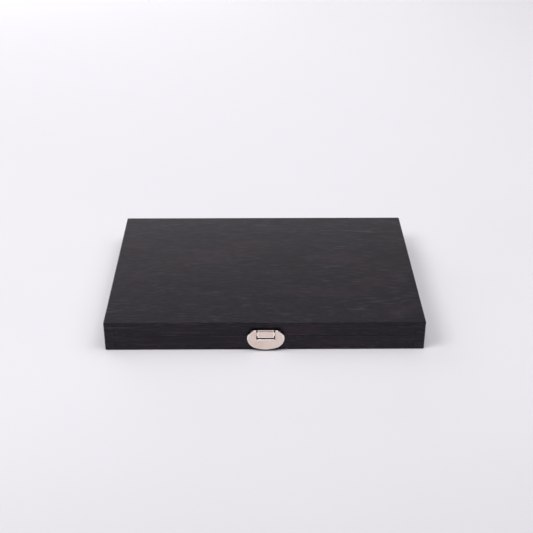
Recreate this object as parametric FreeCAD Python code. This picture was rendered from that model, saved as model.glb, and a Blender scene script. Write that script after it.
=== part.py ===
import FreeCAD, Part
import math
import os

# A flat wooden box for a drawing set, closed, lying on its base.
# X runs along the width, -Y is the front with the clasp, +Y the back with the hinges, Z is up.
# The origin is the centre of the underside. All sizes are in millimetres.

os.makedirs("parts", exist_ok=True)
Vector = FreeCAD.Vector

# A length too short to matter, and how far a cut runs past what it cuts
tiny = 0.001
overshoot = 1.0

# The case
box_width = 285.0
box_depth = 200.0
base_height = 14.8
lid_height = 13.8
rail_thickness = 9.3
bottom_board = 3.0
top_board = 2.8
corner_radius = 1.3
top_edge_radius = 1.0
bottom_edge_ease = 0.5
parting_ease = 0.3
glue_line_ease = 0.2

# The butt hinges
hinge_inset = 57.5
hinge_length = 30.0
hinge_leaf_height = 9.0
hinge_leaf_thickness = 0.9
hinge_leaf_corner = 1.0
hinge_knuckle_radius = 1.7
hinge_knuckle_count = 3
hinge_knuckle_clearance = 0.3
hinge_side_clearance = 0.15
hinge_pin_radius = 0.8
hinge_pin_head_radius = 1.35
hinge_pin_head_height = 0.5
hinge_screw_spacing = 18.0
hinge_screw_drop = 5.6

# The countersunk screws of the hinges
screw_head_radius = 1.9
screw_head_depth = 0.9
screw_shank_radius = 0.95
screw_length = 7.0
screw_slot_width = 0.5
screw_slot_depth = 0.4

# The clasp
clasp_offset = 0.8
clasp_stand_out = 3.0
clasp_knuckle_radius = 1.4
clasp_pin_radius = 0.7
running_clearance = 0.05
flap_width = 33.4
flap_waist_height = 13.7
flap_crown_height = 11.4
flap_crown_end_radius = 7.7
flap_foot_end_radius = 11.0
flap_bottom_gap = 1.6
flap_top_gap = 6.6
flap_face_gap = 0.4
flap_sheet = 0.6
flap_rim = 0.9
flap_bevel = 0.55
flap_lip_bevel = 0.5
flap_bearing_height = 1.7
window_gap = 0.9
window_corner = 0.8
window_rim_depth = 2.0
slot_height = 1.6
strap_width = 14.5
strap_sheet = 0.55
strap_overlap = 0.5
strap_bend = 0.12
strap_lip = 1.5
strap_wing_width = 24.0
strap_wing_height = 3.8
strap_wing_corner = 1.25
strap_wing_drop = 2.1
strap_nail_spacing = 20.0
keeper_width = 14.0
keeper_height = 7.0
keeper_drop = 6.2
keeper_sheet = 0.6
keeper_nail_spacing = 9.6
stud_radius = 1.8
stud_height = 1.3
stud_bevel = 0.4
keeper_pass_gap = 0.2
clip_sheet = 0.7
clip_depth = 1.3
clip_leg = 3.2
nail_head_radius = 1.1
nail_head_height = 0.35
nail_shank_radius = 0.5
nail_length = 5.0

# The lining of the lid
pad_thickness = 5.0
pad_gap = 0.4

# The rests and dividers in the base
divider_thickness = 4.0
divider_drop = 2.4
rest_thickness = 8.0
rest_spacing = 104.0
notch_clearance = 0.3
notch_seat = 0.05
land_width = 1.9
small_bay_least = 64.0
compartment_count = 3

# The pencils
pencil_across_flats = 7.2
pencil_end_room = 3.2
pencil_top_gap = 0.15
lead_radius = 1.1
lead_tip_length = 5.0
lead_seat = 6.0
sharpened_length = 21.0

# The sticks
charcoal_radius = 4.0
charcoal_length = 150.0
charcoal_count = 2
graphite_radius = 3.8
graphite_length = 140.0
graphite_cone = 12.0
stump_radius = 4.8
stump_length = 145.0
stump_cone = 16.0
stump_count = 2

# The eraser, the kneaded eraser and the sharpener
eraser_length = 46.0
eraser_width = 20.0
eraser_height = 10.5
eraser_edge_radius = 1.2
sleeve_length = 31.0
sleeve_setback = 3.0
sleeve_wall = 0.4
kneaded_length = 36.0
kneaded_width = 28.0
kneaded_height = 9.0
kneaded_corner_radius = 4.0
sharpener_length = 25.0
sharpener_width = 15.0
sharpener_grip_radius = 14.0
sharpener_grip_depth = 1.4
sharpener_hole_radius = 4.2
sharpener_hole_wall = 1.6
sharpener_exit_radius = 0.9
sharpener_slot_depth = 0.9
blade_thickness = 0.6
blade_length = 22.0
blade_width = 7.0
blade_screw_offset = 3.9
blade_screw_radius = 1.5
blade_screw_head = 0.8
blade_screw_bevel = 0.3
blade_screw_depth = 3.0

# Places worked out from the sizes above
half_width = box_width / 2
half_depth = box_depth / 2
box_height = base_height + lid_height
inside_half_width = half_width - rail_thickness
inside_half_depth = half_depth - rail_thickness
lid_rail_top = box_height - top_board
hinge_axis_y = half_depth + hinge_knuckle_radius + hinge_knuckle_clearance
knuckle_pitch = hinge_length / hinge_knuckle_count
hinge_offset = half_width - hinge_inset

front_y = -half_depth
clasp_face_y = front_y - clasp_stand_out
clasp_axis_y = clasp_face_y + clasp_knuckle_radius
flap_top = box_height - flap_top_gap
clasp_axis_z = flap_top - clasp_knuckle_radius
strap_bottom = base_height - strap_overlap
window_bottom = strap_bottom - slot_height
window_width = strap_width + 2 * window_gap
keeper_z = base_height - keeper_drop

hexagon_ratio = 2 / math.sqrt(3)
pencil_radius = pencil_across_flats / 2
pencil_z = base_height - pencil_top_gap - pencil_radius
notch_z = pencil_z + notch_clearance - notch_seat
pencil_pitch = 2 * (pencil_radius + notch_clearance) * hexagon_ratio + land_width
pencil_length = 2 * (inside_half_depth - pencil_end_room)
stick_kinds = (
    [(charcoal_radius, charcoal_length, 0, 0)] * charcoal_count
    + [(graphite_radius, graphite_length, 0, graphite_cone)]
    + [(stump_radius, stump_length, stump_cone, stump_cone)] * stump_count
)
stick_radii = [kind[0] for kind in stick_kinds]
stick_rooms = [2 * (radius + notch_clearance) * hexagon_ratio + land_width for radius in stick_radii]
stick_bay = sum(stick_rooms)
fixed_width = stick_bay + small_bay_least + 2 * divider_thickness
pencil_count = int((2 * inside_half_width - fixed_width) / pencil_pitch)
pencil_bay = pencil_count * pencil_pitch
first_divider_x = -inside_half_width + pencil_bay
stick_bay_x = first_divider_x + divider_thickness
second_divider_x = stick_bay_x + stick_bay
small_bay_x = second_divider_x + divider_thickness
small_bay = inside_half_width - small_bay_x
compartment_depth = (
    2 * inside_half_depth - (compartment_count - 1) * divider_thickness
) / compartment_count
divider_top = base_height - divider_drop


def block(low, high):
    """A box between two opposite corners."""
    size = [high[i] - low[i] for i in range(3)]
    return Part.makeBox(size[0], size[1], size[2], Vector(*low))


def rod(start, end, radius):
    """A round rod between two points."""
    along = Vector(*end) - Vector(*start)
    return Part.makeCylinder(radius, along.Length, Vector(*start), along)


def prism(outline, along):
    """A closed outline of points, pushed along a direction."""
    points = [Vector(*point) for point in outline]
    face = Part.Face(Part.makePolygon(points + points[:1]))
    return face.extrude(Vector(*along))


def turned(profile, start, axis):
    """A profile of (distance along, radius) points, turned round an axis from a start point."""
    points = [Vector(radius, 0, along) for along, radius in profile]
    face = Part.Face(Part.makePolygon(points + points[:1]))
    shape = face.revolve(Vector(0, 0, 0), Vector(0, 0, 1), 360)
    shape.Placement = FreeCAD.Placement(
        Vector(*start), FreeCAD.Rotation(Vector(0, 0, 1), Vector(*axis))
    )
    return shape


def joined(shapes):
    """Shapes fused into one solid with its seams removed."""
    return shapes[0].multiFuse(shapes[1:]).removeSplitter()


def edges_where(shape, test):
    """The edges of a shape whose bounding box passes a test."""
    return [edge for edge in shape.Edges if test(edge.BoundBox)]


def level_edges(shape, height):
    """The edges of a shape that lie flat at one height."""
    return edges_where(shape, lambda box: abs(box.Center.z - height) + box.ZLength < tiny)


def save(name, *shapes):
    """One file for a sub-part, which may be a group of like pieces."""
    solids = [solid for shape in shapes for solid in shape.Solids]
    shape = solids[0] if len(solids) == 1 else Part.makeCompound(solids)
    shape.exportStep(f"parts/{name}.step")


# The case: boards glued over rails whose corners are finger lapped


def plain_slab(low, high, low_ease):
    """The box's outline between two heights, with rounded corners and its lower rim eased."""
    slab = block((-half_width, -half_depth, low), (half_width, half_depth, high))
    slab = slab.makeFillet(corner_radius, edges_where(slab, lambda box: box.ZLength > tiny))
    return slab.makeChamfer(low_ease, level_edges(slab, low))


def case_slab(low, high, low_ease, high_ease):
    """The same with its upper rim eased too."""
    slab = plain_slab(low, high, low_ease)
    return slab.makeChamfer(high_ease, level_edges(slab, high))


def rails(low, high, low_ease, high_ease):
    """The front, back, left and right rails: the sides' fingers take the lower half of a corner."""
    hollow = block(
        (-inside_half_width, -inside_half_depth, low),
        (inside_half_width, inside_half_depth, high),
    )
    ring = case_slab(low, high, low_ease, high_ease).cut(hollow)
    middle = (low + high) / 2
    sides = {}
    for name, side in (("left", -1), ("right", 1)):
        near, far = sorted((side * inside_half_width, side * half_width))
        lower = block((near, -half_depth, low), (far, half_depth, middle))
        upper = block((near, -inside_half_depth, middle), (far, inside_half_depth, high))
        sides[name] = ring.common(joined([lower, upper]))
    for name, side in (("front", -1), ("back", 1)):
        near, far = sorted((side * inside_half_depth, side * half_depth))
        upper = block((-half_width, near, middle), (half_width, far, high))
        lower = block((-inside_half_width, near, low), (inside_half_width, far, middle))
        sides[name] = ring.common(joined([upper, lower]))
    return sides


base_rails = rails(bottom_board, base_height, glue_line_ease, parting_ease)
lid_rails = rails(base_height, lid_rail_top, parting_ease, glue_line_ease)
base_board = case_slab(0, bottom_board, bottom_edge_ease, glue_line_ease)
lid_board = plain_slab(lid_rail_top, box_height, glue_line_ease)
lid_board = lid_board.makeFillet(top_edge_radius, level_edges(lid_board, box_height))


# The hinges: two knuckles on the base leaf and one on the lid leaf, rolled round one pin


def hinge_screw(x, z):
    """A slotted countersunk screw, its head flush with the leaf's outer face."""
    profile = [
        (0, 0),
        (0, screw_head_radius),
        (screw_head_depth, screw_shank_radius),
        (screw_length, screw_shank_radius),
        (screw_length, 0),
    ]
    return turned(profile, (x, half_depth + hinge_leaf_thickness, z), (0, -1, 0))


def screw_slot(x, z):
    """The slot across a hinge screw's head."""
    face_y = half_depth + hinge_leaf_thickness
    return block(
        (x - screw_head_radius, face_y - screw_slot_depth, z - screw_slot_width / 2),
        (x + screw_head_radius, face_y, z + screw_slot_width / 2),
    )


def hinge_knuckles(x, first, radius, side_gap):
    """Every second knuckle's barrel along a hinge, from the given place on."""
    barrels = []
    for place in range(first, hinge_knuckle_count, 2):
        start = x - hinge_length / 2 + place * knuckle_pitch + side_gap
        end = start + knuckle_pitch - 2 * side_gap
        barrels.append(rod((start, hinge_axis_y, base_height), (end, hinge_axis_y, base_height), radius))
    return barrels


def hinge_leaf(x, up, first, bore_radius, screws):
    """A leaf on the back face: up is 1 on the lid and -1 on the base."""
    edge_z = base_height + up * hinge_leaf_height
    low, high = sorted((base_height, edge_z))
    left, right = x - hinge_length / 2, x + hinge_length / 2
    plate = block((left, half_depth, low), (right, half_depth + hinge_leaf_thickness, high))
    corners = edges_where(
        plate, lambda box: box.YLength > tiny and abs(box.Center.z - edge_z) < tiny
    )
    plate = plate.makeFillet(hinge_leaf_corner, corners)
    room = hinge_knuckles(x, 1 - first, hinge_knuckle_radius + hinge_knuckle_clearance, 0)
    plate = plate.cut(Part.makeCompound(room))
    trimmed = hinge_side_clearance / 2
    leaf = joined([plate] + hinge_knuckles(x, first, hinge_knuckle_radius, trimmed))
    pin_hole = rod(
        (left - overshoot, hinge_axis_y, base_height),
        (right + overshoot, hinge_axis_y, base_height),
        bore_radius,
    )
    return leaf.cut(Part.makeCompound([pin_hole] + screws))


def hinge_pin(x):
    """A pin with a small turned head at each end."""
    half = hinge_length / 2
    head = hinge_pin_head_height
    profile = [
        (-half - head, 0),
        (-half - head, hinge_pin_radius),
        (-half, hinge_pin_head_radius),
        (-half, hinge_pin_radius),
        (half, hinge_pin_radius),
        (half, hinge_pin_head_radius),
        (half + head, hinge_pin_radius),
        (half + head, 0),
    ]
    return turned(profile, (x, hinge_axis_y, base_height), (1, 0, 0))


base_screws = []
lid_screws = []
base_slots = []
lid_slots = []
hinge_leaves = {}
hinge_pins = {}
for hinge_name, hinge_x in (("left", -hinge_offset), ("right", hinge_offset)):
    screw_places = [hinge_x - hinge_screw_spacing / 2, hinge_x + hinge_screw_spacing / 2]
    lower = [hinge_screw(x, base_height - hinge_screw_drop) for x in screw_places]
    upper = [hinge_screw(x, base_height + hinge_screw_drop) for x in screw_places]
    base_slots += [screw_slot(x, base_height - hinge_screw_drop) for x in screw_places]
    lid_slots += [screw_slot(x, base_height + hinge_screw_drop) for x in screw_places]
    base_screws += lower
    lid_screws += upper
    hinge_leaves[hinge_name, "base"] = hinge_leaf(hinge_x, -1, 0, hinge_pin_radius, lower)
    hinge_leaves[hinge_name, "lid"] = hinge_leaf(
        hinge_x, 1, 1, hinge_pin_radius + running_clearance, upper
    )
    hinge_pins[hinge_name] = hinge_pin(hinge_x)


# The clasp: an oval flap hung from a folded strap, with a spring clip that grips a stud


def clasp_nail(x, z, plate_y):
    """A flat headed nail driven through a plate into the front."""
    profile = [
        (-nail_head_height, 0),
        (-nail_head_height, nail_head_radius),
        (0, nail_head_radius),
        (0, nail_shank_radius),
        (nail_length, nail_shank_radius),
        (nail_length, 0),
    ]
    return turned(profile, (x, plate_y, z), (0, 1, 0))


def oval_join(height, end_radius, inset):
    """Where a flat arc of the flap's oval runs into an end arc, and the end arc's own middle."""
    reach = flap_width / 2 - end_radius
    long_radius = (height**2 + reach**2 - end_radius**2) / (2 * (height - end_radius))
    turn = math.atan2(long_radius - height, reach)
    radius = end_radius - inset
    return [
        (reach + radius * math.cos(angle), radius * math.sin(angle)) for angle in (turn, turn / 2)
    ]


def flap_oval(inset, front, back):
    """The flap's full oval of six arcs, pushed from the front to the back, inset all round."""
    widest = flap_width / 2 - inset
    foot_height = flap_waist_height - flap_bottom_gap
    crown_join, crown_end = oval_join(flap_crown_height, flap_crown_end_radius, inset)
    foot_join, foot_end = oval_join(foot_height, flap_foot_end_radius, inset)

    def arc(*places):
        points = [Vector(clasp_offset + x, front, flap_waist_height + z) for x, z in places]
        return Part.Arc(*points).toShape()

    arcs = []
    for side in (-1, 1):
        waist = (side * widest, 0)
        crown = [(side * x, z) for x, z in (crown_join, crown_end)]
        foot = [(side * x, -z) for x, z in (foot_join, foot_end)]
        arcs += [arc(crown[0], crown[1], waist), arc(waist, foot[1], foot[0])]
    for (x, z), middle in (
        (crown_join, flap_crown_height - inset),
        ((foot_join[0], -foot_join[1]), inset - foot_height),
    ):
        arcs.append(arc((-x, z), (0, middle), (x, z)))
    outline = Part.Wire(Part.__sortEdges__(arcs))
    return Part.Face(outline).extrude(Vector(0, back - front, 0))


def across(half_span, low, high, front, back):
    """A block centred on the clasp's middle line."""
    return block((clasp_offset - half_span, front, low), (clasp_offset + half_span, back, high))


def window(grow, front, back):
    """The flap's window, open at the top, grown all round."""
    half = window_width / 2 + grow
    hole = across(half, window_bottom - grow, flap_top + overshoot, front, back)
    corners = edges_where(
        hole,
        lambda box: box.YLength > tiny and abs(box.Center.z - window_bottom + grow) < tiny,
    )
    return hole.makeFillet(window_corner, corners)


def window_bevel():
    """What the bevel round the window's front edge takes away."""
    outlines = []
    for grow, depth in ((flap_bevel, 0), (0, flap_bevel)):
        y = clasp_face_y + depth
        hole = window(grow, y, y + overshoot)
        outlines += [face.OuterWire for face in hole.Faces if face.BoundBox.YMax < y + tiny]
    return Part.makeLoft(outlines, True, True)


def latch_flap():
    """A pan-shaped oval, solid along its top where the pin runs."""
    back_y = front_y - flap_face_gap
    beyond = flap_width
    body = flap_oval(0, clasp_face_y, back_y)
    face_edges = edges_where(body, lambda box: abs(box.Center.y - clasp_face_y) + box.YLength < tiny)
    body = body.makeChamfer(flap_bevel, face_edges)
    body = body.cut(across(beyond, flap_top, flap_top + beyond, clasp_face_y, back_y))
    lip_corner = [
        (clasp_offset - beyond, clasp_face_y, flap_top),
        (clasp_offset - beyond, clasp_face_y, flap_top - flap_lip_bevel),
        (clasp_offset - beyond, clasp_face_y + flap_lip_bevel, flap_top),
    ]
    body = body.cut(prism(lip_corner, (2 * beyond, 0, 0)))
    body = body.cut(window(0, clasp_face_y, back_y))
    body = body.cut(window_bevel())
    inner_y = clasp_face_y + flap_sheet
    hollow = flap_oval(flap_rim, inner_y, back_y)
    hollow = hollow.cut(
        across(beyond, clasp_axis_z - flap_bearing_height, flap_top + beyond, inner_y, back_y)
    )
    hollow = hollow.cut(window(flap_rim, inner_y, back_y))
    body = body.cut(hollow)
    window_back_y = clasp_face_y + window_rim_depth
    body = body.cut(
        window(flap_rim, window_back_y, back_y).common(
            across(beyond, window_bottom - beyond, clasp_axis_z - flap_bearing_height, window_back_y, back_y)
        )
    )
    shoulder = across(beyond, clasp_axis_z, flap_top, clasp_axis_y, back_y)
    barrel = rod(
        (clasp_offset - beyond, clasp_axis_y, clasp_axis_z),
        (clasp_offset + beyond, clasp_axis_y, clasp_axis_z),
        clasp_knuckle_radius,
    )
    body = body.cut(shoulder.cut(barrel))
    pin_hole = rod(
        (clasp_offset - beyond, clasp_axis_y, clasp_axis_z),
        (clasp_offset + beyond, clasp_axis_y, clasp_axis_z),
        clasp_pin_radius + running_clearance,
    )
    keeper_pass = across(
        keeper_width / 2 + keeper_pass_gap,
        0,
        keeper_z - keeper_height / 2,
        front_y - keeper_sheet - stud_height - keeper_pass_gap,
        back_y,
    )
    return body.cut(Part.makeCompound([pin_hole, keeper_pass]))


def latch_strap(nails):
    """A strip nailed to the lid, rolled round the pin and brought down in front as a tongue."""
    half = strap_width / 2
    back_leg = across(half, base_height + strap_overlap, clasp_axis_z, front_y - strap_sheet, front_y)
    wing_top = clasp_axis_z - strap_wing_drop
    wings = across(
        strap_wing_width / 2, wing_top - strap_wing_height, wing_top, front_y - strap_sheet, front_y
    )
    wing_ends = edges_where(wings, lambda box: box.YLength > tiny)
    wings = wings.makeFillet(strap_wing_corner, wing_ends)
    front_leg = across(half, strap_bottom, clasp_axis_z, clasp_face_y, clasp_face_y + strap_sheet)
    lip = across(half, strap_bottom, strap_bottom + strap_sheet, clasp_face_y, clasp_face_y + strap_lip)
    tongue = joined([front_leg, lip])
    bend = edges_where(
        tongue,
        lambda box: box.XLength > tiny
        and abs(box.Center.y - clasp_face_y) + abs(box.Center.z - strap_bottom) < tiny,
    )
    tongue = tongue.makeChamfer(strap_bend, bend)
    roll = rod(
        (clasp_offset - half, clasp_axis_y, clasp_axis_z),
        (clasp_offset + half, clasp_axis_y, clasp_axis_z),
        clasp_knuckle_radius,
    )
    bridge = across(half, clasp_axis_z - clasp_knuckle_radius, clasp_axis_z, clasp_axis_y, front_y)
    strap = joined([back_leg, wings, tongue, roll, bridge])
    pin_hole = rod(
        (clasp_offset - half - overshoot, clasp_axis_y, clasp_axis_z),
        (clasp_offset + half + overshoot, clasp_axis_y, clasp_axis_z),
        clasp_pin_radius,
    )
    return strap.cut(Part.makeCompound([pin_hole] + nails))


def oval_plate(width, height, x, z, front, back):
    """A plate with half round ends."""
    radius = height / 2
    reach = width / 2 - radius
    ends = [rod((x + side * reach, front, z), (x + side * reach, back, z), radius) for side in (-1, 1)]
    middle = block((x - reach, front, z - radius), (x + reach, back, z + radius))
    return joined([middle] + ends)


def latch_keeper(nails):
    """The plate on the base, with the stud that the clip grips."""
    plate_y = front_y - keeper_sheet
    plate = oval_plate(keeper_width, keeper_height, clasp_offset, keeper_z, plate_y, front_y)
    stud = rod(
        (clasp_offset, plate_y - stud_height, keeper_z), (clasp_offset, plate_y, keeper_z), stud_radius
    )
    rim = edges_where(stud, lambda box: abs(box.Center.y - plate_y + stud_height) + box.YLength < tiny)
    stud = stud.makeChamfer(stud_bevel, rim)
    return joined([plate, stud]).cut(Part.makeCompound(nails))


def latch_clip():
    """A horseshoe strip inside the flap, open downwards, that springs over the stud."""
    face_y = clasp_face_y + flap_sheet
    inner = stud_radius + keeper_pass_gap
    outer = inner + clip_sheet
    back_y = face_y + clip_depth
    centre = (clasp_offset, face_y, keeper_z)
    ring = rod(centre, (clasp_offset, back_y, keeper_z), outer)
    legs = across(outer, keeper_z - clip_leg, keeper_z, face_y, back_y)
    hole = rod(centre, (clasp_offset, back_y, keeper_z), inner)
    mouth = across(inner, keeper_z - clip_leg, keeper_z, face_y, back_y)
    return joined([ring, legs]).cut(joined([hole, mouth]))


strap_nail_z = clasp_axis_z - strap_wing_drop - strap_wing_height / 2
strap_nails = [
    clasp_nail(clasp_offset + side * strap_nail_spacing / 2, strap_nail_z, front_y - strap_sheet)
    for side in (-1, 1)
]
keeper_nails = [
    clasp_nail(clasp_offset + side * keeper_nail_spacing / 2, keeper_z, front_y - keeper_sheet)
    for side in (-1, 1)
]
clasp_pin = rod(
    (clasp_offset - flap_width, clasp_axis_y, clasp_axis_z),
    (clasp_offset + flap_width, clasp_axis_y, clasp_axis_z),
    clasp_pin_radius,
).common(flap_oval(flap_bevel, clasp_face_y, front_y))


# The rests and dividers


def hexagon(x, y, z, radius):
    """The corners of an upright hexagon that lies on one of its flats."""
    corners = []
    for corner in range(6):
        angle = math.radians(60 * corner)
        reach = radius * hexagon_ratio
        corners.append((x + reach * math.cos(angle), y, z + reach * math.sin(angle)))
    return corners


def notched_rest(start_x, end_x, y, places, radii):
    """A bar across a bay, with a half hexagon sawn out for each thing that lies on it."""
    half = rest_thickness / 2
    bar = block((start_x, y - half, bottom_board), (end_x, y + half, notch_z))
    notches = [
        prism(hexagon(x, y - half, notch_z, radius + notch_clearance), (0, rest_thickness, 0))
        for x, radius in zip(places, radii)
    ]
    return bar.cut(Part.makeCompound(notches))


pencil_places = [
    -inside_half_width + (place + 0.5) * pencil_pitch for place in range(pencil_count)
]
stick_places = []
next_x = stick_bay_x
for room in stick_rooms:
    stick_places.append(next_x + room / 2)
    next_x += room
long_dividers = [
    block((x, -inside_half_depth, bottom_board), (x + divider_thickness, inside_half_depth, divider_top))
    for x in (first_divider_x, second_divider_x)
]
cross_dividers = []
for place in range(1, compartment_count):
    y = -inside_half_depth + place * (compartment_depth + divider_thickness) - divider_thickness
    cross_dividers.append(
        block((small_bay_x, y, bottom_board), (inside_half_width, y + divider_thickness, divider_top))
    )


def compartment_centre(place):
    """The middle of a small compartment, counted from the front."""
    y = -inside_half_depth + place * (compartment_depth + divider_thickness) + compartment_depth / 2
    return small_bay_x + small_bay / 2, y


# The pencils and sticks


def pencil(x):
    """A six sided barrel with a scalloped cone, and a socket in its end for the lead."""
    start_y = -pencil_length / 2
    cone_end = pencil_length - lead_tip_length
    barrel = prism(hexagon(x, start_y, pencil_z, pencil_radius), (0, cone_end, 0))
    full_radius = pencil_radius * hexagon_ratio
    envelope = turned(
        [
            (0, 0),
            (0, full_radius + tiny),
            (pencil_length - sharpened_length, full_radius + tiny),
            (cone_end, lead_radius),
            (cone_end, 0),
        ],
        (x, start_y, pencil_z),
        (0, 1, 0),
    )
    end_y = start_y + cone_end
    socket = rod((x, end_y - lead_seat, pencil_z), (x, end_y, pencil_z), lead_radius)
    return barrel.common(envelope).cut(socket)


def pencil_lead(x):
    """The sharpened end of a lead, seated in its barrel."""
    seat_y = pencil_length / 2 - lead_tip_length - lead_seat
    profile = [(0, 0), (0, lead_radius), (lead_seat, lead_radius), (lead_seat + lead_tip_length, 0)]
    return turned(profile, (x, seat_y, pencil_z), (0, 1, 0))


def stick(x, radius, length, front_cone, back_cone):
    """A round stick on the rests, tapered to a point over the length of each cone it has."""
    profile = [(0, 0), (front_cone, radius), (length - back_cone, radius), (length, 0)]
    return turned(profile, (x, -length / 2, pencil_z), (0, 1, 0))


stick_solids = [stick(x, *kind) for x, kind in zip(stick_places, stick_kinds)]


# The small things


def eraser():
    """The eraser and the card sleeve round it."""
    x, y = compartment_centre(0)
    half = (eraser_length / 2, eraser_width / 2)
    floor = bottom_board + sleeve_wall
    body = block((x - half[0], y - half[1], floor), (x + half[0], y + half[1], floor + eraser_height))
    body = body.makeFillet(eraser_edge_radius, edges_where(body, lambda box: box.XLength > tiny))
    start = x - half[0] + sleeve_setback
    wrap = block(
        (start, y - half[1] - sleeve_wall, bottom_board),
        (start + sleeve_length, y + half[1] + sleeve_wall, floor + eraser_height + sleeve_wall),
    )
    wrap = wrap.makeFillet(
        eraser_edge_radius + sleeve_wall, edges_where(wrap, lambda box: box.XLength > tiny)
    )
    return body, wrap.cut(body)


def kneaded_eraser():
    """A soft square cake of eraser putty."""
    x, y = compartment_centre(2)
    half = (kneaded_length / 2, kneaded_width / 2)
    cake = block(
        (x - half[0], y - half[1], bottom_board),
        (x + half[0], y + half[1], bottom_board + kneaded_height),
    )
    corners = edges_where(cake, lambda box: box.ZLength > tiny)
    return cake.makeFillet(kneaded_corner_radius, corners)


def sharpener():
    """A wedge sharpener on its base: body, slanted blade along the open slot, and the blade's screw."""
    x, y = compartment_centre(1)
    floor = bottom_board
    front, back = y - sharpener_length / 2, y + sharpener_length / 2
    half = sharpener_width / 2
    hole_z = floor + sharpener_hole_wall + sharpener_hole_radius
    top = hole_z + sharpener_hole_radius - sharpener_slot_depth
    slope = sharpener_hole_radius - sharpener_exit_radius
    side_outline = [
        (x - half, front, floor),
        (x - half, back, floor),
        (x - half, back, top - slope),
        (x - half, front, top),
    ]
    body = prism(side_outline, (sharpener_width, 0, 0))
    for side in (-1, 1):
        grip_x = x + side * (half - sharpener_grip_depth + sharpener_grip_radius)
        low, high = floor - overshoot, top + overshoot
        body = body.cut(rod((grip_x, y, low), (grip_x, y, high), sharpener_grip_radius))
    cone = [
        (0, 0),
        (0, sharpener_hole_radius),
        (sharpener_length, sharpener_exit_radius),
        (sharpener_length, 0),
    ]
    body = body.cut(turned(cone, (x, front, hole_z), (0, 1, 0)))
    blade = block((0, -blade_length / 2, 0), (blade_width, blade_length / 2, blade_thickness))
    head_top = blade_thickness + blade_screw_head
    shank = blade_screw_radius / 2
    screw_profile = [
        (-blade_screw_depth, 0),
        (-blade_screw_depth, shank),
        (blade_thickness, shank),
        (blade_thickness, blade_screw_radius),
        (head_top, blade_screw_radius - blade_screw_bevel),
        (head_top, 0),
    ]
    screw = turned(screw_profile, (blade_screw_offset, 0, 0), (0, 0, 1))
    seat = FreeCAD.Placement(
        Vector(x, y, top - slope / 2),
        FreeCAD.Rotation(Vector(1, 0, 0), -math.degrees(math.atan2(slope, sharpener_length))),
    )
    for piece in (blade, screw):
        piece.Placement = seat.multiply(piece.Placement)
    return body.cut(screw), blade.cut(screw), screw


def lid_pad():
    """The foam sheet glued under the top board."""
    half_x, half_y = inside_half_width - pad_gap, inside_half_depth - pad_gap
    return block((-half_x, -half_y, lid_rail_top - pad_thickness), (half_x, half_y, lid_rail_top))


# Writing every piece to its file

save("base_panel", base_board)
save("lid_panel", lid_board)
base_fixings = {"back": base_screws, "front": keeper_nails}
lid_fixings = {"back": lid_screws, "front": strap_nails}
for half_name, rail_set, fixings in (
    ("base", base_rails, base_fixings),
    ("lid", lid_rails, lid_fixings),
):
    for rail_name, rail in rail_set.items():
        if rail_name in fixings:
            rail = rail.cut(Part.makeCompound(fixings[rail_name]))
        save(f"{half_name}_{rail_name}_rail", rail)

for (hinge_name, leaf_name), leaf in hinge_leaves.items():
    save(f"hinge_{hinge_name}_{leaf_name}_leaf", leaf)
for hinge_name, pin in hinge_pins.items():
    save(f"hinge_{hinge_name}_pin", pin)
save("hinge_base_screws", *[screw.cut(slot) for screw, slot in zip(base_screws, base_slots)])
save("hinge_lid_screws", *[screw.cut(slot) for screw, slot in zip(lid_screws, lid_slots)])

save("latch_flap", latch_flap())
save("latch_clip", latch_clip())
save("latch_strap", latch_strap(strap_nails))
save("latch_strap_nails", *strap_nails)
save("latch_pin", clasp_pin)
save("latch_keeper", latch_keeper(keeper_nails))
save("latch_keeper_nails", *keeper_nails)

save("lid_pad", lid_pad())
for place_name, y in (("front", -rest_spacing / 2), ("back", rest_spacing / 2)):
    save(
        f"pencil_rest_{place_name}",
        notched_rest(-inside_half_width, first_divider_x, y, pencil_places, [pencil_radius] * pencil_count),
    )
    save(
        f"stick_rest_{place_name}",
        notched_rest(stick_bay_x, second_divider_x, y, stick_places, stick_radii),
    )
save("long_divider_left", long_dividers[0])
save("long_divider_right", long_dividers[1])
save("cross_dividers", *cross_dividers)

for number, x in enumerate(pencil_places, 1):
    save(f"pencil_{number:02d}", pencil(x))
save("pencil_leads", *[pencil_lead(x) for x in pencil_places])
save("charcoal_sticks", *stick_solids[:charcoal_count])
save("graphite_stick", stick_solids[charcoal_count])
save("paper_stumps", *stick_solids[charcoal_count + 1:])

eraser_body, eraser_sleeve = eraser()
save("eraser", eraser_body)
save("eraser_sleeve", eraser_sleeve)
save("kneaded_eraser", kneaded_eraser())
sharpener_body, sharpener_blade, sharpener_screw = sharpener()
save("sharpener_body", sharpener_body)
save("sharpener_blade", sharpener_blade)
save("sharpener_screw", sharpener_screw)

print("pencils", pencil_count, "pencil length", round(pencil_length, 2))
print("small bay", round(small_bay, 2), "by", round(compartment_depth, 2))
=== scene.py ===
import math

import bmesh
import bpy
from mathutils import Matrix, Vector, noise


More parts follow.
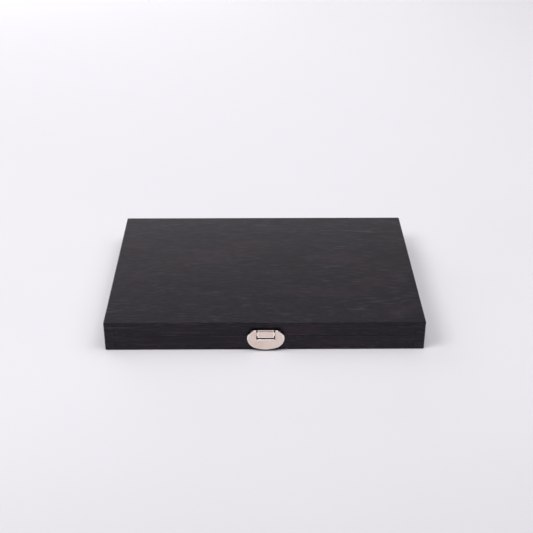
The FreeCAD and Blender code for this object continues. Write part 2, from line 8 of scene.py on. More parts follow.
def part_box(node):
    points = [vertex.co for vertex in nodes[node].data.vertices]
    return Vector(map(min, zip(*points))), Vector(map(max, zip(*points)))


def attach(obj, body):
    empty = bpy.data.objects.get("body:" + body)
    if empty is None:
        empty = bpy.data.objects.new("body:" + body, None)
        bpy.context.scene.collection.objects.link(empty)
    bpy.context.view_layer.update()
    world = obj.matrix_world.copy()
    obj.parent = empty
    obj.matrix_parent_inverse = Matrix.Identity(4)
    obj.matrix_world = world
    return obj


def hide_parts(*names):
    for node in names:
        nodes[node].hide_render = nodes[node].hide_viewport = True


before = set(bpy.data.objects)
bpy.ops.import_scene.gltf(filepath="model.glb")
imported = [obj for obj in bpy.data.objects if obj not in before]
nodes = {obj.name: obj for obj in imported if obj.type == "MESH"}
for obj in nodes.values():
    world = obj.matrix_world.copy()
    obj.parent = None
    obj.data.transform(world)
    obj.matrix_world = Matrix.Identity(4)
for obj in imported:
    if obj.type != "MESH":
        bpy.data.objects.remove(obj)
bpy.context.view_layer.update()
scene = bpy.context.scene
mm = 0.001  # all places below are in metres

# Places read from the frame, and a few sizes that no box gives
base_low, base_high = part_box("base_front_rail")
lid_rail_low, lid_rail_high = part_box("lid_front_rail")
inside_half_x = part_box("base_right_rail")[0].x
inside_half_y = -base_high.y
base_finger_z = (base_low.z + base_high.z) / 2
lid_finger_z = (lid_rail_low.z + lid_rail_high.z) / 2
clasp_face_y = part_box("latch_flap")[0].y
tongue_half = 7.25 * mm
flap_edge = 0.55 * mm
flap_crown = 11.4 * mm
flap_foot = 12.1 * mm
pencil_cone = 16 * mm
lead_radius = 1.1 * mm
dipped_end = 9 * mm

# The camera stands where the photographer stood, looking down on the front of the closed box
camera_place = Vector((-0.00663, -0.84799, 0.52249))
camera_yaw = math.radians(0.61)
camera_pitch = math.radians(30.27)
camera_roll = math.radians(0.12)
camera_data = bpy.data.cameras.new("camera")
camera_data.lens = 68.65
camera_data.sensor_width = 36.0
camera_data.clip_start = 0.01
camera = bpy.data.objects.new("camera", camera_data)
scene.collection.objects.link(camera)
camera.matrix_world = (
    Matrix.Translation(camera_place)
    @ Matrix.Rotation(-camera_yaw, 4, "Z")
    @ Matrix.Rotation(math.pi / 2 - camera_pitch, 4, "X")
    @ Matrix.Rotation(camera_roll, 4, "Z")
)
scene.camera = camera
scene.view_settings.view_transform = "Standard"


# Building finishes out of nodes


class Finish:
    """A finish built up from nodes on the piece's own coordinates."""

    def __init__(self, name, **constants):
        self.material = bpy.data.materials.new(name)
        self.material.use_nodes = True
        self.tree = self.material.node_tree
        self.shader = self.tree.nodes["Principled BSDF"]
        for socket, value in constants.items():
            self.shader.inputs[socket.replace("_", " ")].default_value = value
        places = self.node("ShaderNodeTexCoord")
        self.coordinates = places.outputs["Object"]
        self.normals = places.outputs["Normal"]

    def node(self, kind, inputs=(), **settings):
        """A node with its settings, and its inputs given as values or other sockets."""
        made = self.tree.nodes.new(kind)
        for setting, value in settings.items():
            setattr(made, setting, value)
        pairs = inputs.items() if isinstance(inputs, dict) else enumerate(inputs)
        for key, value in pairs:
            if isinstance(value, bpy.types.NodeSocket):
                self.tree.links.new(value, made.inputs[key])
            elif value is not None:
                made.inputs[key].default_value = value
        return made

    def math(self, operation, *values, clamp=False):
        return self.node("ShaderNodeMath", values, operation=operation, use_clamp=clamp).outputs[0]

    def placed(self, scale, turn=(0, 0, 0), shift=(0, 0, 0), where=None):
        """The piece's coordinates, or others, stretched, turned and then shifted."""
        moved = {"Vector": where or self.coordinates, "Location": shift, "Rotation": turn, "Scale": scale}
        return self.node("ShaderNodeMapping", moved).outputs[0]

    def swayed(self, along, sway, length, shift):
        """The piece's coordinates, pushed sideways by slow waves that run along one axis."""
        slow = self.noise(self.placed([1 / length] * 3, shift=shift), detail=1.0)
        push = self.math("MULTIPLY", self.math("SUBTRACT", slow, 0.5), sway)
        sideways = {axis: push for axis in range(3) if "XYZ"[axis] != along}
        moved = self.node("ShaderNodeCombineXYZ", sideways).outputs[0]
        return self.node("ShaderNodeVectorMath", [self.coordinates, moved], operation="ADD").outputs[0]

    def noise(self, where, scale=1.0, detail=2.0, rough=0.5, distortion=0.0):
        """Cloudy noise, as a number that lies about a half."""
        values = {
            "Vector": where, "Scale": scale, "Detail": detail, "Roughness": rough, "Distortion": distortion,
        }
        return self.node("ShaderNodeTexNoise", values).outputs["Fac"]

    def between(self, value, low, high, to_low=0.0, to_high=1.0):
        """A number carried smoothly from one range to another."""
        ranges = [value, low, high, to_low, to_high]
        return self.node("ShaderNodeMapRange", ranges, interpolation_type="SMOOTHSTEP").outputs[0]

    def mixed(self, share, first, second, blend="MIX"):
        """Two colours mixed by a share."""
        made = self.node("ShaderNodeMix", {0: share, 6: first, 7: second}, data_type="RGBA", blend_type=blend)
        return made.outputs[2]

    def part_of(self, axis):
        """One coordinate of the piece."""
        return self.node("ShaderNodeSeparateXYZ", [self.coordinates]).outputs[axis]

    def colour(self, source):
        self.tree.links.new(source, self.shader.inputs["Base Color"])

    def roughness(self, source):
        self.tree.links.new(source, self.shader.inputs["Roughness"])

    def bump(self, height, distance, strength=1.0):
        """Fine relief of a given depth in metres."""
        values = {"Strength": strength, "Distance": distance, "Height": height}
        made = self.node("ShaderNodeBump", values)
        self.tree.links.new(made.outputs[0], self.shader.inputs["Normal"])


def shade(red, green, blue):
    """A colour given in the 0 to 255 levels of a screen."""
    levels = [value / 255 for value in (red, green, blue)]
    linear = [v / 12.92 if v <= 0.04045 else ((v + 0.055) / 1.055) ** 2.4 for v in levels]
    return (*linear, 1.0)


def dress(name, finish):
    """A finish on every face of a piece of the frame."""
    mesh = nodes[name].data
    mesh.materials.clear()
    mesh.materials.append(finish.material)


# The finishes


def stained_wood(name, along, streaks_of=(0.016, 0.0017), sway=0.010, flecked=0.5, finger_z=None, drift=0.0):
    """Black stained wood with fine wavy grain along one axis, and dark lines at the finger joints."""
    finish = Finish(name, Specular_IOR_Level=0.3, Specular_Tint=shade(246, 237, 255))
    shift = (drift, drift * 0.7, drift * 1.3)
    waves = finish.swayed(along, sway, 0.06, shift)

    def grain(length, width, detail):
        """Streaks of a given length and width in metres."""
        scale = [1 / (length if axis == along else width) for axis in "XYZ"]
        return finish.noise(finish.placed(scale, shift=shift, where=waves), detail=detail)

    bands = grain(0.15, 0.012, 3.0)
    streaks = grain(*streaks_of, 2.0)
    flecks = grain(0.007, 0.0010, 4.0)
    fibres = grain(0.010, 0.0005, 3.0)
    clusters = finish.noise(finish.placed((22, 34, 34), shift=shift), detail=2.0)
    patches = finish.noise(finish.placed((15, 32, 32), shift=shift), detail=3.0, rough=0.6)

    tone = finish.mixed(finish.between(bands, 0.3, 0.7), shade(8, 7, 9), shade(16, 13, 17))
    lit = finish.math("MULTIPLY", finish.between(streaks, 0.54, 0.72), finish.between(clusters, 0.35, 0.62, 0.2, 0.8))
    tone = finish.mixed(lit, tone, shade(62, 54, 64))
    dusted = finish.math("MULTIPLY", finish.between(flecks, 0.5, 0.7), finish.between(bands, 0.35, 0.6, 0.4, 1.0))
    dusted = finish.math("MULTIPLY", dusted, flecked)
    tone = finish.mixed(dusted, tone, shade(63, 56, 65))
    purple = finish.math("MULTIPLY", finish.between(patches, 0.5, 0.7), 0.6)
    tone = finish.mixed(purple, tone, shade(44, 29, 36))
    darkening = finish.math("MULTIPLY", finish.between(streaks, 0.44, 0.3), 0.5)
    tone = finish.mixed(darkening, tone, shade(5, 5, 6))
    tone = finish.mixed(finish.between(flecks, 0.47, 0.32, 0.0, flecked), tone, shade(3, 3, 4))
    tone = finish.mixed(finish.between(fibres, 0.36, 0.25, 0.0, 0.6), tone, shade(4, 4, 5))
    gloss = finish.math("ADD", finish.between(streaks, 0.35, 0.75, 0.38, 0.30), finish.math("MULTIPLY", fibres, 0.1))
    relief = finish.math("ADD", finish.math("MULTIPLY", streaks, 0.5), finish.math("MULTIPLY", fibres, 0.4))
    relief = finish.math("ADD", relief, finish.math("MULTIPLY", flecks, 0.3))
    if finger_z is not None:
        joint = finger_lines(finish, finger_z)
        tone = finish.mixed(joint, tone, shade(1, 1, 1))
        gloss = finish.math("ADD", gloss, finish.math("MULTIPLY", joint, 0.5))
        relief = finish.math("SUBTRACT", relief, joint)
    finish.colour(tone)
    finish.roughness(gloss)
    finish.bump(relief, 0.00014, 0.6)
    return finish


def finger_lines(finish, finger_z, line=0.00035):
    """Where the fingers of two rails meet: upright lines below the middle of the front and above it at the side."""
    x, y, z = [finish.math("ABSOLUTE", finish.part_of(axis)) for axis in range(3)]

    def near(value, place):
        gap = finish.math("ABSOLUTE", finish.math("SUBTRACT", value, place))
        return finish.between(gap, line, line * 0.4)

    lower = finish.math("LESS_THAN", z, finger_z)
    upper = finish.math("SUBTRACT", 1.0, lower)
    front_line = finish.math("MULTIPLY", near(x, inside_half_x), lower)
    side_line = finish.math("MULTIPLY", near(y, inside_half_y), upper)
    corner = finish.math(
        "MULTIPLY",
        finish.math("GREATER_THAN", x, inside_half_x),
        finish.math("GREATER_THAN", y, inside_half_y),
    )
    level_line = finish.math("MULTIPLY", near(z, finger_z), corner)
    both = finish.math("MAXIMUM", front_line, side_line)
    return finish.math("MAXIMUM", both, level_line)


def satin_metal(name, tint, roughness, brushed=(1, 14, 14)):
    """Plated metal with a faint brushed grain and small changes of tint."""
    finish = Finish(name, Metallic=1.0)
    scratches = finish.noise(finish.placed([value * 700 for value in brushed]), detail=2.0)
    cloud = finish.noise(finish.placed((160, 160, 160)), detail=2.0)
    darker = tuple(value * 0.93 for value in tint[:3]) + (1.0,)
    finish.colour(finish.mixed(finish.between(cloud, 0.3, 0.7), darker, tint))
    finish.roughness(finish.between(scratches, 0.2, 0.8, roughness - 0.05, roughness + 0.07))
    finish.bump(scratches, 0.00001, 0.35)
    return finish


def satin_clasp(name, highlight_rim, painted_shade_from, painted_shade_to, darkening):
    """The clasp's satin nickel: its edges are polished and get a painted highlight, a brighter colour, and the cut
    walls behind its face get painted shade, a darker colour.
    """
    finish = Finish(name, Metallic=1.0)
    grain = finish.noise(finish.placed((1800, 9000, 9000)), detail=2.0)
    cloud = finish.noise(finish.placed((110, 110, 110)), detail=2.0)
    face = finish.mixed(finish.between(cloud, 0.3, 0.7), shade(227, 209, 198), shade(236, 220, 211))
    # Painted highlight: the edges and bevels get a brighter colour that stands in for their highlights. Their lower
    # roughness further down is the real polish.
    edge = highlight_rim(finish)
    tone = finish.mixed(edge, face, shade(255, 247, 239))
    # Painted shade: the walls behind the face get a darker colour that stands in for their shade. These are the walls
    # in the slot under the tongue, under the oval and over the top of the strap's roll.
    behind = finish.between(finish.part_of(1), clasp_face_y + painted_shade_from, clasp_face_y + painted_shade_to)
    facing = finish.math("ABSOLUTE", finish.node("ShaderNodeSeparateXYZ", [finish.normals]).outputs[1])
    painted_shade_wall = finish.math("MULTIPLY", behind, finish.between(facing, 0.95, 0.6))
    finish.colour(finish.mixed(painted_shade_wall, tone, darkening))
    satin = finish.between(grain, 0.2, 0.8, 0.28, 0.36)
    finish.roughness(finish.node("ShaderNodeMix", {0: edge, 2: satin, 3: 0.22}).outputs[0])
    finish.bump(grain, 0.00001, 0.25)
    return finish


def flap_highlight_rim(finish):
    """Where the flap gets its painted highlight: its bevels, which lie behind its face, and a band along the oval's
    outline, rounder above its waist than below.
    """
    low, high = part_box("latch_flap")
    bevel = finish.between(finish.part_of(1), clasp_face_y + 0.03 * mm, clasp_face_y + 0.2 * mm)
    waist_z = low.z + flap_foot
    out = finish.math("ABSOLUTE", finish.math("SUBTRACT", finish.part_of(0), (low.x + high.x) / 2))
    up = finish.math("SUBTRACT", finish.part_of(2), waist_z)

    def half_oval(height, power):
        across = finish.math("POWER", finish.math("DIVIDE", out, (high.x - low.x) / 2 - flap_edge), power)
        rise = finish.math("DIVIDE", finish.math("ABSOLUTE", up), height - flap_edge)
        return finish.math("ADD", across, finish.math("POWER", rise, power))

    above = finish.math("GREATER_THAN", up, 0.0)
    crown = finish.math("MULTIPLY", half_oval(flap_crown, 1.89), above)
    foot = finish.math("MULTIPLY", half_oval(flap_foot, 2.19), finish.math("SUBTRACT", 1.0, above))
    highlight_rim = finish.between(finish.math("ADD", crown, foot), 0.925, 0.95)
    return finish.math("MAXIMUM", bevel, highlight_rim)


def tongue_highlight_rim(finish):
    """Where the strap's tongue gets its painted highlight: its two sides and its lower end."""
    low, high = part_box("latch_strap")
    middle_x = (low.x + high.x) / 2
    off_middle = finish.math("ABSOLUTE", finish.math("SUBTRACT", finish.part_of(0), middle_x))
    side = finish.between(off_middle, tongue_half - 0.8 * mm, tongue_half - 0.5 * mm)
    end = finish.between(finish.part_of(2), low.z + 0.8 * mm, low.z + 0.5 * mm)
    return finish.math("MAXIMUM", side, end)


def lacquered(name, colour, dip, ring):
    """Glossy pencil lacquer with a faint orange peel, a dipped end in a second colour and a thin ring."""
    finish = Finish(name, Coat_Weight=0.4, Coat_Roughness=0.15)
    peel = finish.noise(finish.placed((900, 500, 900)), detail=2.0)
    cloud = finish.noise(finish.placed((60, 30, 60)), detail=2.0)
    darker = tuple(value * 0.8 for value in colour[:3]) + (1.0,)
    tone = finish.mixed(finish.between(cloud, 0.35, 0.7), darker, colour)
    from_end = finish.math("SUBTRACT", finish.part_of(1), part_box("pencil_01")[0].y)
    near_dip = finish.between(from_end, dipped_end + 1.2 * mm, dipped_end + 1.1 * mm)
    tone = finish.mixed(near_dip, tone, ring)
    finish.colour(finish.mixed(finish.between(from_end, dipped_end + 0.1 * mm, dipped_end), tone, dip))
    finish.roughness(finish.between(peel, 0.3, 0.7, 0.28, 0.36))
    finish.bump(peel, 0.00002, 0.4)
    return finish


def bare_cedar():
    """The cut cone of a sharpened pencil, with its grain along the pencil and fine knife marks."""
    finish = Finish("bare_cedar")
    grain = finish.noise(finish.placed((900, 90, 900)), detail=4.0, distortion=0.4)
    rings = finish.noise(finish.placed((60, 1600, 60)), detail=1.0)
    finish.colour(finish.mixed(finish.between(grain, 0.3, 0.7), shade(196, 150, 108), shade(224, 184, 142)))
    finish.roughness(finish.between(grain, 0.3, 0.7, 0.6, 0.75))
    finish.bump(finish.math("ADD", grain, finish.math("MULTIPLY", rings, 0.4)), 0.00004, 0.5)
    return finish


def graphite():
    """Burnished graphite: dark, with a soft metallic sheen and rubbed marks."""
    finish = Finish("graphite", Metallic=0.35)
    rubbed = finish.noise(finish.placed((700, 120, 700)), detail=3.0)
    finish.colour(finish.mixed(finish.between(rubbed, 0.3, 0.7), shade(58, 58, 62), shade(92, 92, 97)))
    finish.roughness(finish.between(rubbed, 0.3, 0.7, 0.48, 0.34))
    finish.bump(rubbed, 0.00002, 0.4)
    return finish


def charcoal():
    """Matt charred twigs with long cracks."""
    finish = Finish("charcoal", Specular_IOR_Level=0.3)
    cracks = finish.noise(finish.placed((700, 50, 700)), detail=4.0, distortion=0.5)
    dusty = finish.noise(finish.placed((240, 120, 240)), detail=3.0)
    tone = finish.mixed(finish.between(cracks, 0.38, 0.6), shade(9, 9, 10), shade(38, 37, 38))
    finish.colour(finish.mixed(finish.between(dusty, 0.55, 0.75), tone, shade(58, 57, 57)))
    finish.roughness(finish.between(cracks, 0.3, 0.7, 0.75, 0.92))
    finish.bump(cracks, 0.0004, 0.9)
    return finish


def rolled_paper():
    """Grey paper wound on itself, with the slanting edges of its turns."""
    finish = Finish("rolled_paper", Specular_IOR_Level=0.3)
    turns = finish.node(
        "ShaderNodeTexWave",
        {"Vector": finish.placed((1, 1, 1), turn=(0, 0, 0.5)), "Scale": 55.0, "Distortion": 0.6},
        bands_direction="Y",
    ).outputs["Fac"]
    pulp = finish.noise(finish.placed((900, 900, 900)), detail=4.0)
    edge = finish.between(turns, 0.0, 0.12)
    tone = finish.mixed(finish.between(pulp, 0.3, 0.7), shade(186, 182, 174), shade(208, 204, 196))
    finish.colour(finish.mixed(edge, shade(140, 136, 130), tone))
    finish.roughness(finish.between(pulp, 0.3, 0.7, 0.82, 0.92))
    finish.bump(finish.math("ADD", finish.math("MULTIPLY", edge, 0.7), finish.math("MULTIPLY", pulp, 0.3)), 0.0001, 0.6)
    return finish


def printed_card():
    """Smooth coated card in one plain colour with a pale band."""
    finish = Finish("printed_card", Coat_Weight=0.2, Coat_Roughness=0.3)
    speck = finish.noise(finish.placed((1500, 1500, 1500)), detail=2.0)
    low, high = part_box("eraser_sleeve")
    along = finish.between(finish.part_of(0), low.x + 6 * mm, low.x + 6.2 * mm)
    beyond = finish.between(finish.part_of(0), low.x + 9 * mm, low.x + 9.2 * mm, 1.0, 0.0)
    band = finish.math("MULTIPLY", along, beyond)
    tone = finish.mixed(finish.between(speck, 0.3, 0.7), shade(44, 58, 78), shade(50, 65, 86))
    finish.colour(finish.mixed(band, tone, shade(214, 210, 200)))
    finish.roughness(finish.between(speck, 0.3, 0.7, 0.42, 0.5))
    finish.bump(speck, 0.00001, 0.3)
    return finish


def soft_rubber(name, light, dark, depth=0.00008):
    """Matt rubber or putty with faint smudges."""
    finish = Finish(name, Specular_IOR_Level=0.35, Subsurface_Weight=0.05)
    smudge = finish.noise(finish.placed((90, 90, 90)), detail=3.0)
    skin = finish.noise(finish.placed((1200, 1200, 1200)), detail=3.0)
    finish.colour(finish.mixed(finish.between(smudge, 0.35, 0.7), light, dark))
    finish.roughness(finish.between(skin, 0.3, 0.7, 0.62, 0.74))
    finish.bump(skin, depth, 0.35)
    return finish


def foam():
    """Black foam with small open cells."""
    finish = Finish("foam", Specular_IOR_Level=0.25, Sheen_Weight=0.15)
    cells = finish.node(
        "ShaderNodeTexVoronoi", {"Vector": finish.coordinates, "Scale": 1500.0}
    ).outputs["Distance"]
    cloud = finish.noise(finish.placed((30, 30, 30)), detail=3.0)
    tone = finish.mixed(finish.between(cloud, 0.3, 0.7), shade(38, 38, 40), shade(50, 50, 53))
    finish.colour(finish.mixed(finish.between(cells, 0.5, 0.1), tone, shade(18, 18, 19)))
    finish.roughness(finish.between(cells, 0.1, 0.6, 0.95, 0.85))
    finish.bump(cells, 0.0002, 0.6)
    return finish


def cast_metal():
    """Satin cast light metal with a fine grain of milling marks."""
    finish = Finish("cast_metal", Metallic=1.0)
    marks = finish.noise(finish.placed((60, 3000, 60)), detail=2.0)
    finish.colour(finish.mixed(finish.between(marks, 0.3, 0.7), shade(176, 177, 180), shade(200, 201, 204)))
    finish.roughness(finish.between(marks, 0.3, 0.7, 0.34, 0.46))
    finish.bump(marks, 0.00002, 0.4)
    return finish


steel_tint = shade(200, 194, 188)
finishes = {
    "lid_board": stained_wood("stained_wood_lid_board", "X", drift=3.0),
    "base_board": stained_wood("stained_wood_base_board", "X", drift=11.0),
    "inner": stained_wood("stained_wood_inner", "X", drift=17.0),
    "inner_long": stained_wood("stained_wood_inner_long", "Y", drift=23.0),
    # The clasp finishes paint a highlight on their edges and bevels.
    # The last colour given to each clasp finish is the painted shade of its walls.
    "flap": satin_clasp("satin_nickel_flap", flap_highlight_rim, 0.2 * mm, 0.5 * mm, shade(52, 49, 47)),
    "tongue": satin_clasp("satin_nickel_tongue", tongue_highlight_rim, 0.25 * mm, 0.9 * mm, shade(112, 103, 98)),
    "steel": satin_metal("plated_steel", steel_tint, 0.30),
    # Painted shade: the clasp's pin gets a dark colour so that its ends stay dark beside the top of the flap.
    "painted_shade_steel": satin_metal("painted_shade_steel", shade(72, 69, 67), 0.40),
    "graphite": graphite(),
    "charcoal": charcoal(),
    "paper": rolled_paper(),
    "card": printed_card(),
    "rubber": soft_rubber("white_rubber", shade(226, 224, 219), shade(206, 204, 199)),
    "putty": soft_rubber("grey_putty", shade(128, 132, 138), shade(112, 116, 122)),
    "foam": foam(),
    "cast_metal": cast_metal(),
    "lacquer": lacquered("pencil_lacquer", shade(38, 58, 66), shade(22, 23, 25), shade(186, 182, 172)),
    "cedar": bare_cedar(),
}
for half_name, finger_z in (("base", base_finger_z), ("lid", lid_finger_z)):
    for number, rail_name in enumerate(("front", "back", "left", "right")):
        along = "X" if rail_name in ("front", "back") else "Y"
        name = f"{half_name}_{rail_name}_rail"
        drift = 31.0 + 7.0 * number + (3.5 if half_name == "lid" else 0.0)
        finishes[name] = stained_wood(f"stained_wood_{name}", along, (0.06, 0.0012), 0.003, 0.45, finger_z, drift)
        dress(name, finishes[name])

dress("lid_panel", finishes["lid_board"])
dress("base_panel", finishes["base_board"])
for name in nodes:
    if name.startswith("pencil_rest") or name.startswith("stick_rest") or name == "cross_dividers":
        dress(name, finishes["inner"])
    elif name.startswith("long_divider"):
        dress(name, finishes["inner_long"])
    elif name == "latch_flap":
        dress(name, finishes["flap"])
    elif name == "latch_strap":
        dress(name, finishes["tongue"])
    elif name == "latch_pin":
        dress(name, finishes["painted_shade_steel"])
    elif name.startswith("latch_") or name.startswith("hinge_") or name in ("sharpener_blade", "sharpener_screw"):
        dress(name, finishes["steel"])
    elif name in ("pencil_leads", "graphite_stick"):
        dress(name, finishes["graphite"])
    elif name.startswith("pencil_"):
        dress(name, finishes["lacquer"])
dress("charcoal_sticks", finishes["charcoal"])
dress("paper_stumps", finishes["paper"])
dress("eraser", finishes["rubber"])
dress("eraser_sleeve", finishes["card"])
dress("kneaded_eraser", finishes["putty"])
dress("lid_pad", finishes["foam"])
dress("sharpener_body", finishes["cast_metal"])


# The pieces that are modelled here


def deselect():
    bpy.ops.object.select_all(action="DESELECT")


def choose(kind, test):
    """In edit mode, only the edges or faces that pass a test are selected."""
    bpy.ops.mesh.select_mode(type=kind)
    bpy.ops.mesh.select_all(action="DESELECT")
    mesh = bpy.context.object.data
    shape = bmesh.from_edit_mesh(mesh)
    for item in shape.edges if kind == "EDGE" else shape.faces:
        item.select_set(test(item))
    bmesh.update_edit_mesh(mesh)


def runs_along(edge, axis, least):
    """Whether an edge is at least so long along one axis."""
    first, second = edge.verts
    return abs(first.co[axis] - second.co[axis]) >= least


def settle(name, *made_of):
    """The piece just modelled, named, with its place in its mesh and its finishes on it."""
    piece = bpy.context.object
    piece.name = name
    bpy.ops.object.transform_apply(location=True, rotation=True, scale=True)
    for finish in made_of:
        piece.data.materials.append(finish.material)
    return piece


def smooth_over(degrees):
    """Smooth shading across edges that are blunter than an angle."""
    bpy.ops.object.shade_smooth_by_angle(angle=math.radians(degrees))


def apply_modifier(piece, kind, **settings):
    modifier = piece.modifiers.new(kind.lower(), kind)
    for setting, value in settings.items():
        setattr(modifier, setting, value)
    bpy.ops.object.modifier_apply(modifier=modifier.name)


def stand_for(piece, body, slot, *replaced):
    """A piece that rides on a body in the place of one or more pieces of the frame."""
    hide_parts(*replaced)
    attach(piece, body)


def lying_cylinder(sides, radius, start, end, turn=0.0):
    """A cylinder that lies along Y between two points."""
    deselect()
    bpy.ops.mesh.primitive_cylinder_add(
        vertices=sides,
        radius=radius,
        depth=end.y - start.y,
        location=(start + end) / 2,
        rotation=(math.pi / 2, turn, 0),
    )
    bpy.ops.object.transform_apply(location=True, rotation=True, scale=True)
    return bpy.context.object


def pencil_model():
    """The first pencil: a hexagon with rounded edges, a dipped round end and a scalloped cone."""
    low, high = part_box("pencil_01")
    centre = (low + high) / 2
    start, end = Vector((centre.x, low.y, centre.z)), Vector((centre.x, high.y, centre.z))
    corner_reach = (high.z - low.z) / math.sqrt(3)
    barrel = lying_cylinder(6, corner_reach, start, end, turn=math.pi / 6)
    bpy.ops.object.mode_set(mode="EDIT")
    choose("EDGE", lambda edge: runs_along(edge, 1, pencil_cone))
    bpy.ops.mesh.bevel(offset=0.45 * mm, segments=3, affect="EDGES")
    choose("FACE", lambda face: face.normal.y < -0.9)
    bpy.ops.mesh.bevel(offset=0.6 * mm, segments=3, affect="EDGES")
    bpy.ops.object.mode_set(mode="OBJECT")

    cone_start = Vector((centre.x, high.y - pencil_cone, centre.z))
    blade = lying_cylinder(72, corner_reach, start - Vector((0, 1 * mm, 0)), cone_start)
    bpy.ops.object.mode_set(mode="EDIT")
    choose("FACE", lambda face: face.normal.y > 0.9)
    bpy.ops.mesh.extrude_region_move(TRANSFORM_OT_translate={"value": (0, pencil_cone, 0)})
    tip_share = lead_radius / corner_reach
    bpy.ops.transform.resize(value=(tip_share, 1, tip_share))
    bpy.ops.object.mode_set(mode="OBJECT")

    deselect()
    barrel.select_set(True)
    bpy.context.view_layer.objects.active = barrel
    apply_modifier(barrel, "BOOLEAN", operation="INTERSECT", solver="EXACT", object=blade)
    bpy.data.objects.remove(blade)
    settle("drawing_pencil_01", finishes["lacquer"], finishes["cedar"])
    for face in barrel.data.polygons:
        face.material_index = 1 if face.normal.y > 0.1 else 0
    smooth_over(28)
    return barrel


def make_pencils():
    """The first pencil and its copies, each in its own notch."""
    first = pencil_model()
    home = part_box("pencil_01")[0]
    names = sorted(name for name in nodes if name.startswith("pencil_") and name[-2:].isdigit())
    for name in names:
        pencil = first
        if name != names[0]:
            mesh = first.data.copy()
            mesh.transform(Matrix.Translation(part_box(name)[0] - home))
            pencil = bpy.data.objects.new(f"drawing_{name}", mesh)
            scene.collection.objects.link(pencil)
        stand_for(pencil, "base", "pencil_wood", name)


def make_charcoal():
    """Uneven charred twigs, a little bent between the rests that carry them."""
    low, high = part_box("charcoal_sticks")
    radius = (high.z - low.z) / 2
    rest_low, rest_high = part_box("stick_rest_back")
    rest_y = (rest_low.y + rest_high.y) / 2
    sticks = []
    for number, x in enumerate((low.x + radius, high.x - radius), 1):
        centre = Vector((x, 0, (low.z + high.z) / 2))
        stick = lying_cylinder(26, radius, centre + Vector((0, low.y, 0)), centre + Vector((0, high.y, 0)))
        bpy.ops.object.mode_set(mode="EDIT")
        choose("FACE", lambda face: abs(face.normal.y) > 0.9)
        bpy.ops.mesh.bevel(offset=0.5 * mm, segments=2, affect="EDGES")
        choose("EDGE", lambda edge: runs_along(edge, 1, 100 * mm))
        bpy.ops.mesh.subdivide(number_cuts=90)
        bpy.ops.object.mode_set(mode="OBJECT")
        for vertex in stick.data.vertices:
            out = vertex.co - Vector((x, vertex.co.y, centre.z))
            along = vertex.co.y / (14 * mm)
            turn = out.normalized() * 0.9
            swell = noise.noise(Vector((turn.x, along * 0.6, turn.z + 9 * number)))
            chips = noise.noise(Vector((turn.x * 5, along * 5, turn.z * 5 + 3 * number)))
            vertex.co -= out * (0.06 - 0.05 * swell - 0.03 * chips)
            bow = 1 - (vertex.co.y / rest_y) ** 2
            vertex.co.x += bow * (0.5 - number % 2) * mm
        settle(f"charcoal_stick_{number}", finishes["charcoal"])
        smooth_over(50)
        sticks.append(stick)
    for stick in sticks:
        stand_for(stick, "base", "charcoal", "charcoal_sticks")


def make_putty():
    """The kneaded eraser: a square cake pressed by thumbs, flat underneath."""
    low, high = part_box("kneaded_eraser")
    centre, size = (low + high) / 2, high - low
    deselect()
    bpy.ops.mesh.primitive_cube_add(size=1, location=centre, scale=size)
    cake = settle("putty_cake", finishes["putty"])
    bpy.ops.object.mode_set(mode="EDIT")
    bpy.ops.mesh.select_all(action="SELECT")
    bpy.ops.mesh.bevel(offset=2.6 * mm, segments=2, affect="EDGES")
    bpy.ops.mesh.subdivide(number_cuts=3)
    bpy.ops.object.mode_set(mode="OBJECT")
    apply_modifier(cake, "SUBSURF", levels=2, render_levels=2)
    dents = ((-7 * mm, 3 * mm, 6.5 * mm, 1.6 * mm), (6 * mm, -3 * mm, 7.5 * mm, 2.1 * mm))
    for vertex in cake.data.vertices:
        place = vertex.co - centre
        height = (vertex.co.z - low.z) / size.z
        for x, y, reach, depth in dents:
            gap = math.hypot(place.x - x, place.y - y) / reach
            vertex.co.z -= depth * height * math.exp(-gap * gap)
        folds = noise.noise(vertex.co * 70) + 0.4 * noise.noise(vertex.co * 190)
        vertex.co += Vector((place.x, place.y, 0)).normalized() * 0.9 * mm * (folds - 0.5)
        vertex.co.z += height * 0.7 * mm * (noise.noise(vertex.co * 110) - 0.5)
        vertex.co.z = max(vertex.co.z, low.z)
    smooth_over(60)
    stand_for(cake, "base", "grey_putty", "kneaded_eraser")


def make_foam():
    """The foam sheet in the lid: crowned, with soft lower edges and sides drawn in between the corners."""
    low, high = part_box("lid_pad")
    centre, half = (low + high) / 2, (high - low) / 2
    deselect()
    bpy.ops.mesh.primitive_grid_add(
        x_subdivisions=72, y_subdivisions=50, size=1, location=(centre.x, centre.y, high.z)
    )
    bpy.ops.transform.resize(value=(2 * half.x, 2 * half.y, 1))
    sheet = settle("lid_foam", finishes["foam"])
    bpy.ops.object.mode_set(mode="EDIT")
    bpy.ops.mesh.select_all(action="SELECT")
    bpy.ops.mesh.extrude_region_move(TRANSFORM_OT_translate={"value": (0, 0, -2 * half.z)})
    bpy.ops.mesh.select_all(action="SELECT")
    bpy.ops.mesh.normals_make_consistent(inside=False)

    def lower_rim(edge):
        folded = len(edge.link_faces) == 2 and edge.calc_face_angle(0) > 1
        return folded and all(vertex.co.z < centre.z for vertex in edge.verts)

    choose("EDGE", lower_rim)
    bpy.ops.mesh.bevel(offset=1.6 * mm, segments=4, affect="EDGES")
    bpy.ops.object.mode_set(mode="OBJECT")
    for vertex in sheet.data.vertices:
        across = (vertex.co - centre).x / half.x
        deep = (vertex.co - centre).y / half.y
        below = (high.z - vertex.co.z) / (2 * half.z)
        vertex.co.x -= across * (1 - deep ** 2) * 0.5 * mm
        vertex.co.y -= deep * (1 - across ** 2) * 0.5 * mm
        crown = (1 - across ** 4) * (1 - deep ** 4) * 0.6 * mm
        ripple = 0.25 * mm * noise.noise(vertex.co * 28)
        vertex.co.z -= below * (crown + ripple)
    smooth_over(40)
    stand_for(sheet, "lid", "foam", "lid_pad")


make_pencils()
make_charcoal()
make_putty()
make_foam()


# The table and the light


light_tint = (1.0, 0.985, 1.02)


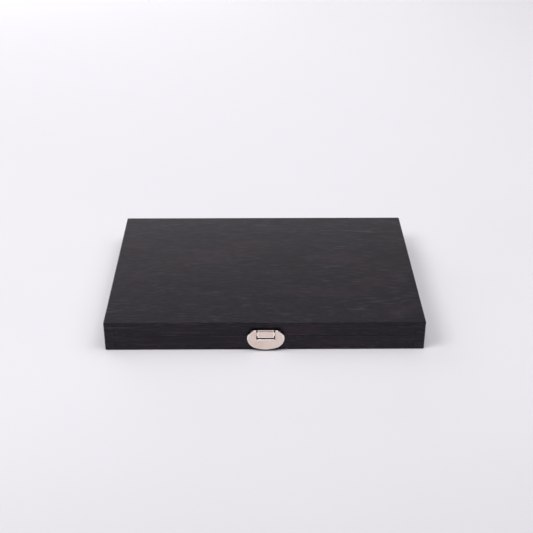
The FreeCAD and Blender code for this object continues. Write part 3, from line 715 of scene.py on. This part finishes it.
def make_table():
    """A wide pale table top with painted light: darker towards the front, brighter far away and to the right, and
    glowing far outside the picture, where the lights don't reach, so that it stays pale there.
    """
    bpy.ops.object.select_all(action="DESELECT")
    bpy.ops.mesh.primitive_plane_add(size=80.0, location=(0, 0, 0))
    table = bpy.context.object
    table.name = "table"
    finish = Finish("table_paper", Specular_IOR_Level=0.2)
    cloud = finish.noise(finish.placed((3, 3, 3)), detail=2.0)
    near_to_far = finish.part_of(1)
    to_far_right = finish.math("ADD", near_to_far, finish.math("MULTIPLY", finish.part_of(0), 0.2))
    tone = finish.mixed(finish.between(cloud, 0.3, 0.7), shade(236, 235, 237), shade(238, 237, 239))
    # Painted light: the colour grades from darker near the front to brighter far away and to the right, as the light
    # falls off.
    tone = finish.mixed(finish.between(to_far_right, -0.1, 0.95), tone, shade(254, 253, 255))
    finish.colour(finish.mixed(finish.between(near_to_far, -0.1, -0.5), tone, shade(221, 220, 222)))
    finish.roughness(finish.between(cloud, 0.3, 0.7, 0.7, 0.8))
    # Painted light: beyond 1.3 m from the middle the table glows, standing in for light where the lamps don't reach.
    distance = finish.node("ShaderNodeVectorMath", [finish.coordinates], operation="LENGTH").outputs["Value"]
    far_glow = finish.between(distance, 1.3, 3.0, 0.0, 0.75)
    finish.tree.links.new(far_glow, finish.shader.inputs["Emission Strength"])
    table.data.materials.append(finish.material)


def soft_light(name, place, aim, width, height, power, tint):
    """A large rectangular light pointed at a place."""
    data = bpy.data.lights.new(name, "AREA")
    data.shape = "RECTANGLE"
    data.size = width
    data.size_y = height
    data.energy = power
    data.color = tint
    light = bpy.data.objects.new(name, data)
    scene.collection.objects.link(light)
    light.location = place
    light.rotation_euler = (Vector(aim) - Vector(place)).to_track_quat("-Z", "Y").to_euler()
    light.visible_camera = False


make_table()
lights = (
    ("front_left_light", (-1.1, -0.6, 1.55), (0, 0, 0), 1.0, 1.0, 17.4),
    ("right_light", (1.1, -0.2, 1.7), (0, 0, 0), 1.2, 1.2, 9.2),
    ("front_light", (0.15, -0.75, 1.95), (0, 0, 0), 1.4, 1.0, 12.2),
    ("back_left_light", (-1.3, 1.1, 1.2), (0, 0, 0), 1.2, 1.2, 4.8),
    ("overhead_light", (0.4, 0.6, 1.9), (0.1, 0.2, 0), 1.6, 1.6, 7.0),
    ("low_back_light", (-0.5, 1.8, 0.3), (0, 0, 0.1), 2.8, 0.6, 16.3),
)
for name, place, aim, width, height, power in lights:
    soft_light(name, place, aim, width, height, power, light_tint)
world = bpy.data.worlds.new("room")
scene.world = world
world.use_nodes = True
world.node_tree.nodes["Background"].inputs["Color"].default_value = (*light_tint, 1.0)
world.node_tree.nodes["Background"].inputs["Strength"].default_value = 0.054
